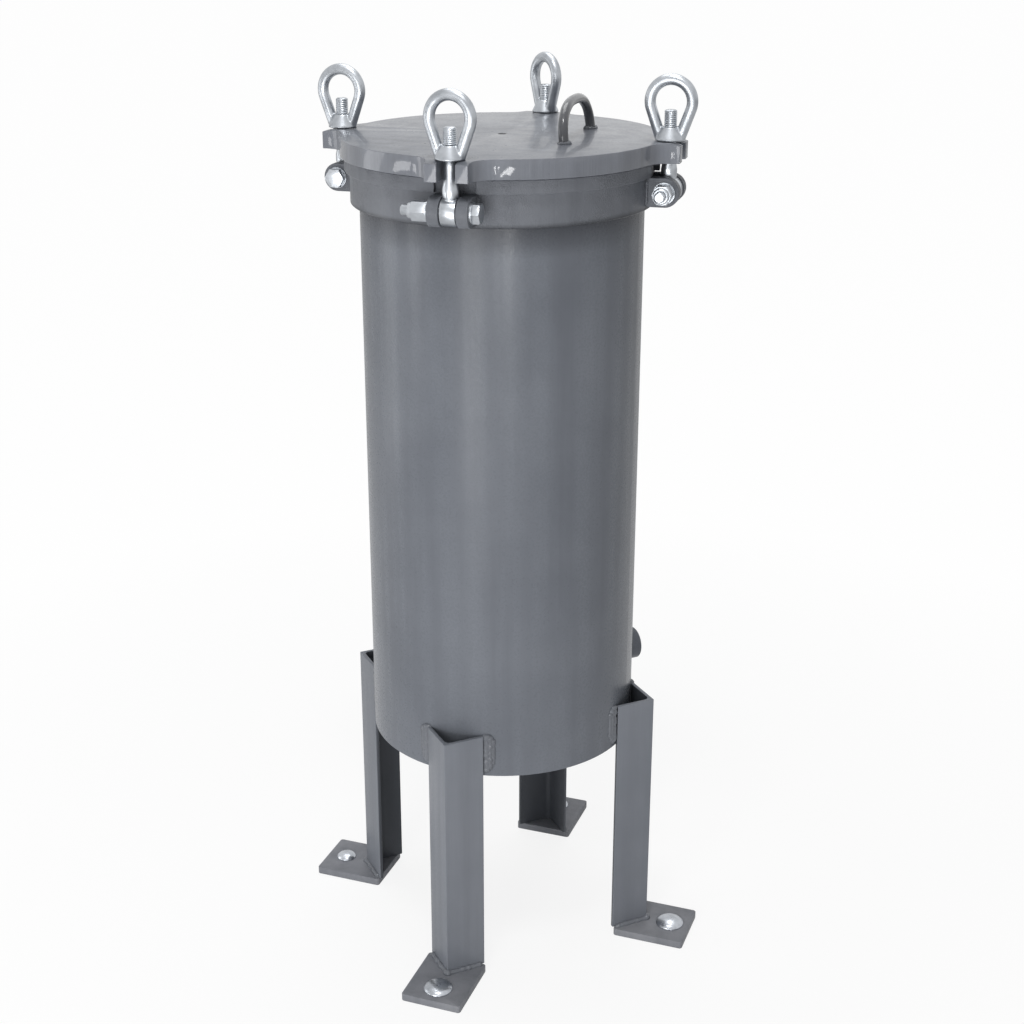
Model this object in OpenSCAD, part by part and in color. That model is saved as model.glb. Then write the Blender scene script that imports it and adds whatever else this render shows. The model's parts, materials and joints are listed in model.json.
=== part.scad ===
// Multi-cartridge filter housing with a swing-bolt lid, on four angle legs.
// The origin is on the floor under the shell's axis. The front leg is on -Y, the right leg on +X.

/* [Shell] */
// Outside diameter of the shell tube
shell_od = 273; // [262:1:330]
// Wall thickness of the shell tube
shell_wall = 4; // [3:0.5:6]
// Height of the shell's lower end above the floor
shell_height = 229; // [170:1:400]
// Thickness of the bottom plate
bottom_t = 12; // [8:1:20]
// How far the bottom plate is set up into the tube
bottom_recess = 4; // [2:1:8]

/* [Closure ring] */
// How far the ring stands out past the shell tube
ring_stand = 8.5; // [6:0.5:14]
// How far the upper band stands out past the ring
band_stand = 5; // [3:0.5:7]
// Height of the upper band
band_h = 13; // [10:1:18]
// Height of the ring below the clevis ears
ring_skirt = 3.5; // [2:0.5:12]
// Width of the ring's sealing face inside the shell's bore
ring_step = 4.5; // [2:0.5:8]
// Height of the ring above the end of the shell tube
ring_cap = 16; // [12:1:24]
// Half width of the notch in the band behind each swing bolt
notch_half = 19.5; // [16:0.5:24]
// Depth of the seal groove
groove_depth = 5; // [4:0.5:7]
// Width of the seal groove
groove_w = 7.5; // [6:0.5:9]

/* [Lid] */
// Thickness of the lid plate
lid_t = 18; // [14:1:26]
// How far the lid stands out past the band
lid_overhang = 3.5; // [1:0.5:8]
// Half width of a lid lug
lug_half = 20; // [17:0.5:26]
// How far a lug reaches past the bolt's axis
lug_past = 13.5; // [11:0.5:18]
// Radius of the fillets between the lugs and the lid
lug_fillet = 25; // [10:1:28]
// How far a lug's straight root lies behind the points where its fillets meet the rim
lug_lap = 1.5; // [0.5:0.25:2.5]
// Gap between a swing bolt and the side of its slot
slot_gap = 2.5; // [1:0.25:3]
// Turn of the closure about the axis, away from the legs
closure_turn = 4; // [0:0.5:20]
// Diameter of the turning centre in the lid
centre_d = 8; // [5:1:14]

/* [Lid handle] */
// Diameter of the handle's round bar
handle_bar = 9; // [8:1:14]
// Distance between the middles of the handle's feet
handle_span = 107; // [80:1:125]
// Height of the bow's highest point above the lid, to the bar's middle
handle_rise = 27; // [24:1:60]
// Radius of the bends above the feet, to the bar's middle
handle_bend = 13; // [8:1:16]
// Radius of the bow's crowned top, to the bar's middle
handle_crown = 160; // [115:5:400]
// Angle by which the bow leans in over the lid
handle_lean = 7.5; // [0:0.5:15]
// Distance of the handle from the lid's axis
handle_out = 72; // [40:1:100]
// Sideways offset of the handle's middle
handle_side = 5; // [-10:1:10]

/* [Swing bolts] */
// Diameter of the swing bolts
bolt_d = 12; // [10:1:14]
// Outside diameter of a swing bolt's eye
eye_od = 25; // [22:0.5:27]
// Width of a swing bolt's eye
eye_w = 14; // [12:0.5:18]
// How far the neck's shoulder stands past the sides of the eye
neck_past = 0.5; // [0:0.25:0.75]
// Height of the neck's straight shoulder above the eye
neck_rise = 7; // [3:0.5:8]
// Length of the taper from the shoulder to the shank
neck_h = 8; // [4:1:10]
// How far a bolt stands above the lid
bolt_proud = 28; // [22:1:50]
// Distance from the ring to the hinge pin's axis
pin_reach = 16; // [14.5:0.5:24]

/* [Clevises and hinge pins] */
// Radius of the rounded end of an ear
ear_r = 13.5; // [12:0.5:18]
// Thickness of an ear
ear_t = 11; // [6:0.5:14]
// Gap between the eye and each ear
ear_gap = 1; // [0.5:0.25:3]
// Gap between the ears and the band above them
ear_drop = 0.5; // [0.3:0.1:3]
// Diameter of the hinge pins
pin_d = 10; // [8:1:12]
// Running clearance round a hinge pin, on the radius
pin_gap = 0.06; // [0.03:0.01:0.1]
// Width across flats of the pin's head and nut
pin_hex = 17; // [16:0.5:19]
// Height of the pin's hex head
pin_head_h = 7; // [5:0.5:9]
// Outside diameter of the pin's washers
pin_washer_d = 20; // [18.5:0.5:24]
// Thickness of the pin's washers
pin_washer_t = 2; // [1.5:0.5:3]
// Height of the lock nut's hexagon
pin_nut_h = 14; // [8:0.5:16]
// Height of the lock nut's round collar
pin_collar_h = 4; // [2:0.5:5]
// How far the pin's thread stands out of its nut
pin_end = 6.5; // [2:0.5:10]

/* [Eye nuts] */
// Diameter of an eye nut's base
nut_base_d = 27; // [24:0.5:32]
// Height of the straight rim of the base
nut_rim_h = 1.5; // [1:0.5:3]
// Height of the base and its cone together
nut_body_h = 12.5; // [11:0.5:16]
// Diameter of the cone's top
nut_top_d = 16; // [16:0.5:20]
// Whole height of an eye nut
nut_h = 60; // [56:1:70]
// Outside width of the lifting eye
nut_eye_w = 50; // [46:1:56]
// Thickness of the eye's bar
nut_bar = 10.5; // [8:0.5:12]
// Direction that the front nut's eye faces
nut_face_front = -94; // [-180:1:180]
// Direction that the right nut's eye faces
nut_face_right = -88; // [-180:1:180]
// Direction that the rear nut's eye faces
nut_face_rear = -128; // [-180:1:180]
// Direction that the left nut's eye faces
nut_face_left = -92; // [-180:1:180]

/* [Legs and feet] */
// Width of an angle leg's flanges
leg_flange = 42; // [30:1:60]
// Thickness of an angle leg's flanges
leg_t = 4; // [3:0.5:6]
// Radius of the fillet inside an angle leg's heel
leg_root = 5; // [2:0.5:8]
// How far the legs overlap the shell
leg_lap = 45; // [30:1:90]
// Length of a foot plate, outwards
foot_len = 76; // [70:1:100]
// Width of a foot plate
foot_w = 64; // [62:1:90]
// Thickness of a foot plate
foot_t = 8; // [5:1:14]
// Corner radius of a foot plate
foot_corner = 3; // [1:0.5:8]
// How far a foot plate reaches in from the leg's heel
foot_inset = 28.5; // [20:0.5:30]
// Diameter of the anchor hole in a foot plate
foot_hole_d = 13; // [9:0.5:16]
// Distance of the anchor hole from the plate's outer edge
foot_hole_edge = 21.5; // [18:0.5:26]

/* [Sockets] */
// Outside diameter of the inlet and outlet sockets
port_od = 70; // [66:1:80]
// Bore of the inlet and outlet sockets
port_bore = 56.6; // [40:0.2:58]
// How far the inlet socket stands out of the shell
port_reach = 38; // [24:1:42]
// Length of the outlet socket below the bottom plate
outlet_drop = 38; // [24:1:56]
// Height of the inlet's axis above the tube sheet
inlet_rise = 46; // [42:1:100]
// Direction of the inlet socket
inlet_turn = 135; // [120:1:150]
// Outside diameter of the drain socket
drain_od = 34; // [30:1:38]
// Bore of the drain socket
drain_bore = 24.2; // [14:0.2:26]
// How far the drain socket stands out of the shell
drain_reach = 23.5; // [14:0.5:34]
// Height of the drain's axis above the tube sheet
drain_rise = 13; // [12.5:0.5:30]
// Direction of the drain socket
drain_turn = 45; // [35:1:55]

/* [Tube sheet] */
// Height of the outlet chamber between the bottom plate and the seat ring
chamber_gap = 5; // [3:1:40]
// Thickness of the seat ring inside the shell
seat_t = 8; // [6:1:14]
// Width of the seat ring
seat_w = 20.5; // [19:0.5:21]
// Thickness of the flat gasket under the tube sheet
gasket_t = 2; // [1:0.5:4]
// Thickness of the tube sheet
sheet_t = 8; // [6:1:16]
// Gap between the tube sheet and the shell's bore
sheet_gap = 1.5; // [0.5:0.25:3]
// Diameter of the screws that hold the tube sheet
screw_d = 8; // [5:1:8]
// Width across flats of the screws' heads
screw_hex = 13; // [12:0.5:14]
// Height of the screws' heads
screw_head_h = 5.5; // [4:0.5:8]
// Distance of the screws from the shell's bore
screw_in = 11.5; // [11:0.5:12]

/* [Cartridges] */
// Outside diameter of a cartridge
cartridge_od = 63; // [50:0.5:66]
// Bore of a cartridge
cartridge_bore = 28; // [24:0.5:32]
// Length of a cartridge
cartridge_len = 508; // [240:1:1020]
// Distance of the outer cartridges from the axis
cartridge_pitch = 80; // [72:0.5:82]
// Height of the seats that the cartridges stand on
seat_pad = 2; // [1:0.5:5]
// Diameter of the seats that the cartridges stand on
pad_d = 46; // [40:1:49]
// Height of the spigots inside the cartridges
spigot_h = 12; // [6:1:25]
// Gap between a spigot and its cartridge
spigot_gap = 0.5; // [0.3:0.1:1.5]
// Wall of a spigot
spigot_wall = 3; // [2:0.5:5]

/* [Hold-down] */
// Thickness of the hold-down plate
hold_t = 6; // [5:1:12]
// Edge of the hold-down plate past the outer cartridge axes
hold_edge = 27; // [24:0.5:32]
// Diameter of the tie rods
rod_d = 10; // [8:1:12]
// Width across flats of the tie-rod nuts
rod_hex = 17; // [15.5:0.5:19]
// Height of the tie-rod nuts
rod_nut_h = 8; // [6:0.5:10]
// Outside diameter of the tie-rod washers
rod_washer_d = 21; // [19.5:0.5:24]
// Thickness of the tie-rod washers
rod_washer_t = 2; // [1.5:0.5:3]
// How far the tie rods stand out of their nuts
rod_end = 6; // [3:1:12]
// Room between the cartridges and the lid
head_room = 46; // [42:1:80]

/* [Fits] */
// Gap at welded seats and between parts that rest on each other
seat_gap = 0.3; // [0.1:0.05:0.5]
// Radial clearance of screws and rods in their wide holes
hole_gap = 0.5; // [0.2:0.1:0.5]
// Radial clearance of pins, rods and screws in their close holes
close_gap = 0.1; // [0.05:0.05:0.3]
// Radial clearance of the washers
washer_gap = 0.25; // [0.1:0.05:0.5]
// Radial running clearance of the nuts on their threads
thread_gap = 0.06; // [0.03:0.01:0.1]
// Gap above and below the seal's cord in its groove
seal_gap = 0.06; // [0.02:0.02:0.2]

/* [Hidden] */
$fn = 96;

// Directions of the four sides, turned about +Z from +X
front = -90;
right = 0;
rear = 90;
left = 180;
sides = [front, right, rear, left];

// Small amount by which a cutting tool runs past the face it cuts
past = 1;
// Chamfer on turned edges
edge = 1;
// How much deeper than the ring's own face a notch is cut
notch_step = 0.5;
// How far the handle's bar swells at both ends of a bend, where its pieces join
swell = 0.05;
// Chamfer angle of a hexagon's corners, as height over radius
hex_bevel = 0.5;

shell_r = shell_od / 2;
bore_r = shell_r - shell_wall;

// Heights, from the floor up
bottom_z = shell_height + bottom_recess;
seat_z = bottom_z + bottom_t + chamber_gap;
sheet_z = seat_z + seat_t + gasket_t;
sheet_top = sheet_z + sheet_t;
cartridge_z = sheet_top + seat_pad;
cartridge_top = cartridge_z + cartridge_len;
closure_z = cartridge_top + head_room;
lid_z = closure_z + seat_gap;
lid_top = lid_z + lid_t;
tube_top = closure_z - ring_cap;
band_z = closure_z - band_h;
pin_z = band_z - ear_drop - ear_r;
ring_z = pin_z - ear_r - ring_skirt;
nut_z = lid_top + seat_gap;
hold_z = cartridge_top + seat_pad;
hold_top = hold_z + hold_t;

// Radii, from the axis outwards
ring_bore = bore_r - ring_step;
ring_r = shell_r + ring_stand;
band_r = ring_r + band_stand;
lid_r = band_r + lid_overhang;
pin_circle = ring_r + pin_reach;
lug_end = pin_circle + lug_past;
groove_r = (ring_bore + band_r) / 2;
sheet_r = bore_r - sheet_gap;
seat_bore = bore_r - seat_w;
screw_circle = bore_r - screw_in;
hold_r = cartridge_pitch + hold_edge;
// A tie rod stands in the middle of the triangle of three cartridges
rod_circle = cartridge_pitch / sqrt(3);

// Clevis: half the gap between the ears, and the outer face of an ear
eye_half = eye_w / 2;
ear_in = eye_half + ear_gap;
ear_out = ear_in + ear_t;

// The inner corners of a leg's toes lie on the shell
toe_side = (leg_flange - leg_t) / sqrt(2);
toe_back = (leg_flange + leg_t) / sqrt(2);
heel_r = toe_back + sqrt(pow(shell_r + seat_gap, 2) - pow(toe_side, 2));
foot_in = heel_r - foot_inset;
foot_out = foot_in + foot_len;
foot_hole_r = foot_out - foot_hole_edge;

// Eye nut: the eye's bar runs round a circle and down two tangents to the base
nut_ring_r = (nut_eye_w - nut_bar) / 2;
nut_ring_z = nut_h - nut_eye_w / 2;
nut_toe = nut_base_d / 2 - nut_bar / 2;
nut_toe_d = norm([nut_toe, nut_ring_z]);
nut_tangent = acos(nut_ring_r / nut_toe_d) - atan2(nut_ring_z, nut_toe);
nut_leg = sqrt(pow(nut_toe_d, 2) - pow(nut_ring_r, 2));

// Lid lugs: the fillet circles touch both the lid's rim and the lug's sides
lug_fillet_x = sqrt(pow(lid_r + lug_fillet, 2) - pow(lug_half + lug_fillet, 2));
lug_root = lid_r * cos(atan2(lug_half + lug_fillet, lug_fillet_x)) - lug_lap;

steel_grey = [0.44, 0.45, 0.47];
lid_grey = [0.55, 0.57, 0.6];
zinc = [0.82, 0.84, 0.86];
stainless = [0.66, 0.67, 0.68];
rubber = [0.08, 0.08, 0.08];
felt = [0.92, 0.91, 0.88];

// Places its children at one closure station, with +X outwards and z = 0 on the hinge axis
module at_pin(side) {
    rotate([0, 0, side + closure_turn]) translate([pin_circle, 0, pin_z]) children();
}

// Places its children along the hinge axis, which runs from the nut side to the head side
module along_pin(from) {
    translate([0, from, 0]) rotate([-90, 0, 0]) children();
}

// Turned body from a profile of [radius, height] points
module turned(profile) {
    rotate_extrude() polygon(profile);
}

module tube(outer, inner, height) {
    difference() {
        cylinder(r = outer, h = height);
        translate([0, 0, -past]) cylinder(r = inner, h = height + 2 * past);
    }
}

// Hexagon bar with its outer corners chamfered on the top face, and on both if asked
module hexagon(flats, height, both = false) {
    corner = flats / sqrt(3);
    fall = (corner - flats / 2) * hex_bevel;
    low = both ? fall : 0;
    intersection() {
        cylinder(r = corner, h = height, $fn = 6);
        turned([
            [0, 0], [both ? flats / 2 : corner, 0], [corner, low],
            [corner, height - fall], [flats / 2, height], [0, height]
        ]);
    }
}

module shell_tube() {
    color(steel_grey) difference() {
        translate([0, 0, shell_height]) tube(shell_r, bore_r, tube_top - shell_height);
        radial_hole(inlet_turn, sheet_top + inlet_rise, port_bore / 2);
        radial_hole(drain_turn, sheet_top + drain_rise, drain_bore / 2);
    }
}

module radial_hole(turn, height, radius) {
    rotate([0, 0, turn]) translate([0, 0, height]) rotate([0, 90, 0])
        cylinder(r = radius, h = shell_r + past);
}

module bottom_plate() {
    color(steel_grey) translate([0, 0, bottom_z])
        tube(bore_r - seat_gap, port_od / 2 + seat_gap, bottom_t);
}

module closure_ring() {
    color(steel_grey) rotate([0, 0, closure_turn]) difference() {
        turned([
            [shell_r + seat_gap, ring_z], [ring_r - edge, ring_z], [ring_r, ring_z + edge],
            [ring_r, band_z], [band_r - edge / 2, band_z], [band_r, band_z + edge / 2],
            [band_r, closure_z - edge], [band_r - edge, closure_z],
            [ring_bore, closure_z], [ring_bore, tube_top], [shell_r + seat_gap, tube_top]
        ]);
        for (side = sides) rotate([0, 0, side])
            translate([0, -notch_half, band_z]) difference() {
                cube([band_r + past, 2 * notch_half, band_h + past]);
                translate([0, notch_half, -past])
                    cylinder(r = ring_r - notch_step, h = band_h + 3 * past);
            }
        translate([0, 0, closure_z - groove_depth]) difference() {
            cylinder(r = groove_r + groove_w / 2, h = groove_depth + past);
            translate([0, 0, -past])
                cylinder(r = groove_r - groove_w / 2, h = groove_depth + 3 * past);
        }
    }
}

module closure_seal() {
    cord = groove_depth - 2 * seal_gap;
    color(rubber) translate([0, 0, closure_z - groove_depth / 2])
        rotate_extrude() translate([groove_r, 0]) circle(d = cord);
}

// Pair of ears: rounded round the pin and cut to the ring at the back
module clevis(side) {
    color(steel_grey) difference() {
        at_pin(side) for (face = [-ear_out, ear_in]) along_pin(face) {
            cylinder(r = ear_r, h = ear_t);
            translate([-pin_circle, -ear_r, 0]) cube([pin_circle, 2 * ear_r, ear_t]);
        }
        at_pin(side) along_pin(-ear_out - past)
            cylinder(r = pin_d / 2 + close_gap, h = 2 * (ear_out + past));
        translate([0, 0, ring_z - past])
            cylinder(r = ring_r + seat_gap, h = closure_z - ring_z + 2 * past);
    }
}

// Hinge bolt: hex head on one side, chamfered thread end on the other
module hinge_pin(side) {
    head = ear_out + pin_washer_t;
    tail = ear_out + pin_washer_t + pin_nut_h + pin_collar_h + pin_end;
    color(zinc) at_pin(side) {
        along_pin(-tail) turned([
            [0, 0], [pin_d / 2 - edge, 0], [pin_d / 2, edge], [pin_d / 2, tail + head],
            [0, tail + head]
        ]);
        along_pin(head) hexagon(pin_hex, pin_head_h);
    }
}

// Lock nut: a hexagon with a round collar on its outer side
module pin_nut(side) {
    collar_r = pin_hex / 2 - edge;
    color(zinc) at_pin(side) mirror([0, 1, 0]) along_pin(ear_out + pin_washer_t) difference() {
        union() {
            hexagon(pin_hex, pin_nut_h);
            turned([
                [0, 0], [collar_r, 0], [collar_r, pin_nut_h + pin_collar_h - edge],
                [collar_r - edge, pin_nut_h + pin_collar_h], [0, pin_nut_h + pin_collar_h]
            ]);
        }
        translate([0, 0, -past])
            cylinder(r = pin_d / 2 + pin_gap, h = pin_nut_h + pin_collar_h + 2 * past);
    }
}

module pin_washers() {
    color(zinc) for (side = sides, face = [-ear_out - pin_washer_t, ear_out])
        at_pin(side) along_pin(face) tube(pin_washer_d / 2, pin_d / 2 + washer_gap, pin_washer_t);
}

// Eye bolt: a drilled flat-sided eye, a shoulder that tapers to the shank, and a chamfered end
module swing_bolt(side) {
    shank_r = bolt_d / 2;
    eye_r = eye_od / 2;
    neck_r = eye_half + neck_past;
    top = lid_top + bolt_proud - pin_z;
    color(zinc) at_pin(side) difference() {
        union() {
            along_pin(-eye_half) cylinder(d = eye_od, h = eye_w);
            turned([
                [0, 0], [eye_half, 0], [eye_half, eye_r - edge], [neck_r, eye_r + edge],
                [neck_r, eye_r + neck_rise], [shank_r, eye_r + neck_rise + neck_h],
                [shank_r, top - edge], [shank_r - edge, top], [0, top]
            ]);
        }
        along_pin(-eye_half - past) cylinder(r = pin_d / 2 + pin_gap, h = eye_w + 2 * past);
    }
}

// Lifting-eye nut: a coned base, and a bar that runs round the eye and down both sides
module eye_nut(side, face) {
    bar_r = nut_bar / 2;
    base_r = nut_base_d / 2;
    rotate([0, 0, side + closure_turn]) translate([pin_circle, 0, nut_z])
        rotate([0, 0, face - side - closure_turn + 90]) color(zinc) difference() {
            union() {
                turned([
                    [0, 0], [base_r, 0], [base_r, nut_rim_h],
                    [nut_top_d / 2, nut_body_h], [0, nut_body_h]
                ]);
                translate([0, 0, nut_ring_z]) rotate([90, 0, 0]) rotate([0, 0, nut_tangent])
                    rotate_extrude(angle = 180 - 2 * nut_tangent)
                        translate([nut_ring_r, 0]) circle(r = bar_r);
                intersection() {
                    for (turn = [0, 180]) rotate([0, 0, turn]) translate([0, 0, nut_ring_z])
                        rotate([0, 90 - nut_tangent, 0]) translate([0, 0, nut_ring_r])
                            rotate([0, 90, 0]) cylinder(r = bar_r, h = nut_leg + nut_bar);
                    cylinder(r = nut_eye_w, h = nut_ring_z);
                }
            }
            translate([0, 0, -past])
                cylinder(r = bolt_d / 2 + thread_gap, h = nut_ring_z);
        }
}

// The disc, with a flat on each side where a lug is set on
module lid_plate() {
    color(lid_grey) difference() {
        translate([0, 0, lid_z]) cylinder(r = lid_r, h = lid_t);
        for (side = sides) rotate([0, 0, side + closure_turn])
            translate([lug_root, -lid_r, lid_z - past]) cube([lid_r, 2 * lid_r, lid_t + 2 * past]);
        translate([0, 0, lid_top - centre_d / 2])
            cylinder(r1 = 0, r2 = centre_d / 2 + past, h = centre_d / 2 + past);
    }
}

// One lug beyond its root: it flares into the lid's rim, and a slot for the bolt is open outwards
module lug_outline() {
    reach = lug_half + lug_fillet;
    slot_r = bolt_d / 2 + slot_gap;
    difference() {
        union() {
            circle(r = lid_r);
            polygon([[0, 0], [lug_fillet_x, -reach], [lug_fillet_x, reach]]);
            translate([0, -lug_half]) square([lug_end, 2 * lug_half]);
        }
        for (y = [-reach, reach]) translate([lug_fillet_x, y]) circle(r = lug_fillet);
        translate([-lid_r - past, -lid_r - past]) square([lid_r + past + lug_root, 2 * (lid_r + past)]);
        translate([pin_circle, 0]) {
            circle(r = slot_r);
            translate([0, -slot_r]) square([lug_past + past, 2 * slot_r]);
        }
    }
}

// The outer half of a lug falls away, so that a tight nut can roll over it
module lid_lug(side) {
    reach = lug_half + lug_fillet;
    color(lid_grey) difference() {
        rotate([0, 0, side + closure_turn]) translate([0, 0, lid_z])
            linear_extrude(lid_t) lug_outline();
        at_pin(side) difference() {
            translate([0, -reach, 0]) cube([lug_past + past, 2 * reach, lid_top + past - pin_z]);
            along_pin(-reach - past) cylinder(r = lid_top - pin_z, h = 2 * (reach + past));
        }
    }
}

// Round bar bent to a bow: two straight legs, two bends and a crowned top, cut flat at the feet
module lid_handle() {
    bar_r = handle_bar / 2;
    half = handle_span / 2;
    bend_y = half - handle_bend;
    // The bends lie inside the crown's circle and touch it
    inner = handle_crown - handle_bend;
    crown_half = asin(bend_y / inner);
    crown_z = handle_rise - handle_crown;
    bend_z = crown_z + inner * cos(crown_half);
    color(steel_grey) rotate([0, 0, closure_turn]) translate([handle_out, handle_side, lid_top])
        difference() {
            rotate([0, -handle_lean, 0]) {
                for (end = [-1, 1]) {
                    translate([0, end * half, -handle_bar])
                        cylinder(r = bar_r, h = bend_z + handle_bar);
                    translate([0, end * bend_y, bend_z]) rotate([90, 0, end * 90]) {
                        rotate_extrude(angle = 90 - crown_half)
                            translate([handle_bend, 0]) circle(r = bar_r);
                        for (turn = [0, 90 - crown_half]) rotate([0, 0, turn])
                            translate([handle_bend, 0, 0]) sphere(r = bar_r + swell);
                    }
                }
                translate([0, 0, crown_z]) rotate([90, 0, 90]) rotate([0, 0, 90 - crown_half])
                    rotate_extrude(angle = 2 * crown_half)
                        translate([handle_crown, 0]) circle(r = bar_r);
            }
            translate([-2 * handle_bar, -handle_span, -2 * handle_bar])
                cube([4 * handle_bar, 2 * handle_span, 2 * handle_bar]);
        }
}

// Section of an angle leg with its heel at the origin and both flanges pointing inwards
module angle_section() {
    rotate(135) {
        square([leg_flange, leg_t]);
        square([leg_t, leg_flange]);
        translate([leg_t, leg_t]) difference() {
            square(leg_root);
            translate([leg_root, leg_root]) circle(r = leg_root);
        }
    }
}

module leg(side) {
    color(steel_grey) rotate([0, 0, side]) translate([heel_r, 0, foot_t])
        linear_extrude(shell_height + leg_lap - foot_t) angle_section();
}

module foot_outline() {
    inner = foot_corner;
    difference() {
        union() {
            translate([foot_in, inner - foot_w / 2]) square([foot_len, foot_w - 2 * inner]);
            translate([foot_in + inner, -foot_w / 2]) square([foot_len - 2 * inner, foot_w]);
            for (x = [foot_in + inner, foot_out - inner], y = [-1, 1])
                translate([x, y * (foot_w / 2 - inner)]) circle(r = inner);
        }
        translate([foot_hole_r, 0]) circle(d = foot_hole_d);
    }
}

module foot_plate(side) {
    color(steel_grey) rotate([0, 0, side]) linear_extrude(foot_t) foot_outline();
}

// Threaded half socket with chamfered lips, its seat at z = 0
module socket(od, bore, length) {
    turned([
        [bore / 2, 0], [od / 2, 0], [od / 2, length - edge], [od / 2 - edge, length],
        [bore / 2 + edge, length], [bore / 2, length - edge]
    ]);
}

// Socket that points outwards, cut to the shell at its root
module radial_socket(turn, height, od, bore, reach) {
    color(steel_grey) difference() {
        rotate([0, 0, turn]) translate([shell_r - od / 4, 0, height]) rotate([0, 90, 0])
            socket(od, bore, reach + od / 4);
        translate([0, 0, shell_height]) cylinder(r = shell_r + seat_gap, h = closure_z - shell_height);
    }
}

module inlet_socket() {
    radial_socket(inlet_turn, sheet_top + inlet_rise, port_od, port_bore, port_reach);
}

module drain_socket() {
    radial_socket(drain_turn, sheet_top + drain_rise, drain_od, drain_bore, drain_reach);
}

module outlet_socket() {
    color(steel_grey) translate([0, 0, bottom_z + bottom_t]) mirror([0, 0, 1])
        socket(port_od, port_bore, bottom_t + outlet_drop);
}

module seat_ring() {
    color(stainless) difference() {
        translate([0, 0, seat_z]) tube(bore_r - seat_gap, seat_bore, seat_t);
        screw_holes(seat_z - past, seat_t + 2 * past, close_gap);
    }
}

module sheet_gasket() {
    color(rubber) difference() {
        translate([0, 0, seat_z + seat_t]) tube(sheet_r, seat_bore, gasket_t);
        screw_holes(seat_z + seat_t - past, gasket_t + 2 * past, hole_gap);
    }
}

// Six screws stand between the outer cartridges
module at_screws() {
    for (turn = [30:60:330]) rotate([0, 0, turn]) translate([screw_circle, 0, 0]) children();
}

module screw_holes(from, length, gap) {
    at_screws() translate([0, 0, from]) cylinder(r = screw_d / 2 + gap, h = length);
}

module sheet_screws() {
    color(stainless) at_screws() {
        translate([0, 0, seat_z]) cylinder(r = screw_d / 2, h = sheet_top - seat_z);
        translate([0, 0, sheet_top]) hexagon(screw_hex, screw_head_h);
    }
}

// The centre cartridge and the ring of six round it
function cartridge_place(index) = index == 0 ? [0, 0] :
    cartridge_pitch * [cos(60 * (index - 1)), sin(60 * (index - 1))];

module at_cartridges() {
    for (index = [0:6]) translate(cartridge_place(index)) children();
}

// Three tie rods, each among three cartridges
module at_rods() {
    for (turn = [30:120:270]) rotate([0, 0, turn]) translate([rod_circle, 0, 0]) children();
}

module tube_sheet() {
    spigot_r = cartridge_bore / 2 - spigot_gap;
    color(stainless) difference() {
        union() {
            translate([0, 0, sheet_z]) cylinder(r = sheet_r, h = sheet_t);
            at_cartridges() {
                translate([0, 0, sheet_top - past]) cylinder(d = pad_d, h = seat_pad + past);
                translate([0, 0, sheet_top]) cylinder(r = spigot_r, h = seat_pad + spigot_h);
            }
        }
        at_cartridges() translate([0, 0, sheet_z - past])
            cylinder(r = spigot_r - spigot_wall, h = sheet_t + seat_pad + spigot_h + 2 * past);
        at_rods() translate([0, 0, sheet_z - past])
            cylinder(r = rod_d / 2 + close_gap, h = sheet_t + 2 * past);
        screw_holes(sheet_z - past, sheet_t + 2 * past, hole_gap);
    }
}

module cartridge(index) {
    color(felt) translate(cartridge_place(index)) translate([0, 0, cartridge_z])
        tube(cartridge_od / 2, cartridge_bore / 2, cartridge_len);
}

module hold_down_plate() {
    spigot_r = cartridge_bore / 2 - spigot_gap;
    color(stainless) difference() {
        union() {
            translate([0, 0, hold_z]) cylinder(r = hold_r, h = hold_t);
            at_cartridges() {
                translate([0, 0, cartridge_top]) cylinder(d = pad_d, h = seat_pad + past);
                translate([0, 0, cartridge_top - spigot_h]) cylinder(r = spigot_r, h = spigot_h + past);
            }
        }
        at_rods() translate([0, 0, hold_z - past])
            cylinder(r = rod_d / 2 + hole_gap, h = hold_t + 2 * past);
    }
}

module tie_rods() {
    top = hold_top + rod_washer_t + rod_nut_h + rod_end;
    color(stainless) at_rods() translate([0, 0, sheet_z]) cylinder(d = rod_d, h = top - sheet_z);
}

// Washers under the nuts that clamp the hold-down plate
module tie_rod_washers() {
    color(stainless) at_rods() translate([0, 0, hold_top])
        tube(rod_washer_d / 2, rod_d / 2 + washer_gap, rod_washer_t);
}

// Nuts on the tube sheet and on the hold-down plate
module tie_rod_nuts() {
    color(stainless) at_rods() for (z = [sheet_top, hold_top + rod_washer_t])
        translate([0, 0, z]) difference() {
            hexagon(rod_hex, rod_nut_h, both = true);
            translate([0, 0, -past])
                cylinder(r = rod_d / 2 + thread_gap, h = rod_nut_h + 2 * past);
        }
}

shell_tube();
bottom_plate();
closure_ring();
closure_seal();
clevis(front);  // clevis_front
clevis(right);  // clevis_right
clevis(rear);  // clevis_rear
clevis(left);  // clevis_left
hinge_pin(front);  // hinge_pin_front
hinge_pin(right);  // hinge_pin_right
hinge_pin(rear);  // hinge_pin_rear
hinge_pin(left);  // hinge_pin_left
pin_nut(front);  // pin_nut_front
pin_nut(right);  // pin_nut_right
pin_nut(rear);  // pin_nut_rear
pin_nut(left);  // pin_nut_left
pin_washers();
swing_bolt(front);  // swing_bolt_front
swing_bolt(right);  // swing_bolt_right
swing_bolt(rear);  // swing_bolt_rear
swing_bolt(left);  // swing_bolt_left
eye_nut(front, nut_face_front);  // eye_nut_front
eye_nut(right, nut_face_right);  // eye_nut_right
eye_nut(rear, nut_face_rear);  // eye_nut_rear
eye_nut(left, nut_face_left);  // eye_nut_left
lid_plate();
lid_lug(front);  // lid_lug_front
lid_lug(right);  // lid_lug_right
lid_lug(rear);  // lid_lug_rear
lid_lug(left);  // lid_lug_left
lid_handle();
leg(front);  // leg_front
leg(right);  // leg_right
leg(rear);  // leg_rear
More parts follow.
